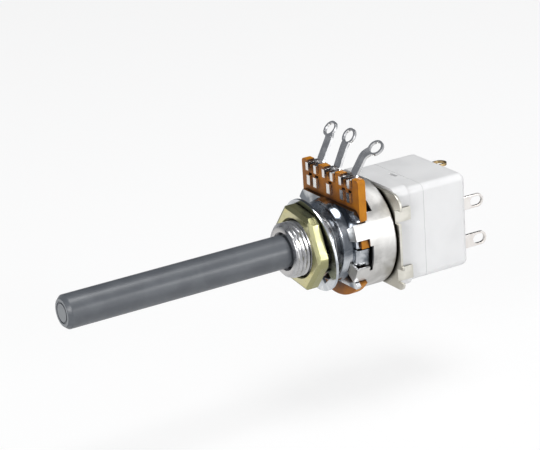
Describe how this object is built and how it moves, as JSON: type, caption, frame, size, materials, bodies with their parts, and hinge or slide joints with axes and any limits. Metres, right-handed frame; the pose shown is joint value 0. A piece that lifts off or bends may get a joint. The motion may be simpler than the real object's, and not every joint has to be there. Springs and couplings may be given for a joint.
{
  "type": "rotary potentiometer with switch",
  "caption": "Panel-mount rotary potentiometer with long plain spindle, threaded bush, nut, washer, metal can, solder tags and a white switch block behind.",
  "frame": {"origin": "on the spindle's axis, in the mounting face of the front plate", "axes": "-Y along the spindle towards the knob, +Y towards the switch, +Z towards the three solder tags of the track board, +X towards the side with both silver switch tags in view"},
  "size_m": [0.0212, 0.0821, 0.0296],
  "materials": {
    "spindle_plastic": "satin grey moulding",
    "bush_plating": "bright nickel plating",
    "nut_passivate": "yellow passivated zinc",
    "zinc_plating": "bright zinc plating",
    "laminate": "paper laminate, orange brown",
    "carbon_ink": "matt carbon ink",
    "silver_ink": "matt silver ink",
    "tag_tinning": "bright tin plating",
    "can_tinning": "cloudy tin plating",
    "carrier_plastic": "black moulding",
    "contact_alloy": "spring alloy",
    "switch_moulding": "white moulding",
    "switch_tag_silver": "silver plating",
    "switch_tag_brass": "plain brass"
  },
  "bodies": {
    "case": {"threaded_bush": "bush_plating", "hex_nut": "nut_passivate", "locating_washer": "zinc_plating", "front_plate": "zinc_plating", "track_board": "laminate", "carbon_track": "carbon_ink", "collector_track": "silver_ink", "left_tag": "tag_tinning", "centre_tag": "tag_tinning", "right_tag": "tag_tinning", "rear_can": "can_tinning", "switch_bracket": "tag_tinning", "switch_front_housing": "switch_moulding", "switch_rear_housing": "switch_moulding", "near_upper_switch_tag": "switch_tag_silver", "near_lower_switch_tag": "switch_tag_silver", "far_upper_switch_tag": "switch_tag_brass", "far_lower_switch_tag": "switch_tag_silver", "near_leaf_contact": "contact_alloy", "far_leaf_contact": "contact_alloy"},
    "spindle_group": {"spindle": "spindle_plastic", "retaining_clip": "zinc_plating", "wiper_carrier": "carrier_plastic", "wiper_contact": "contact_alloy", "switch_cam": "carrier_plastic"}
  },
  "joints": [
    {"name": "spindle_turn", "type": "hinge", "parent": "case", "child": "spindle_group", "pos_m": [0, 0, 0], "axis": [0, 1, 0], "range_deg": [0, 300]}
  ]
}
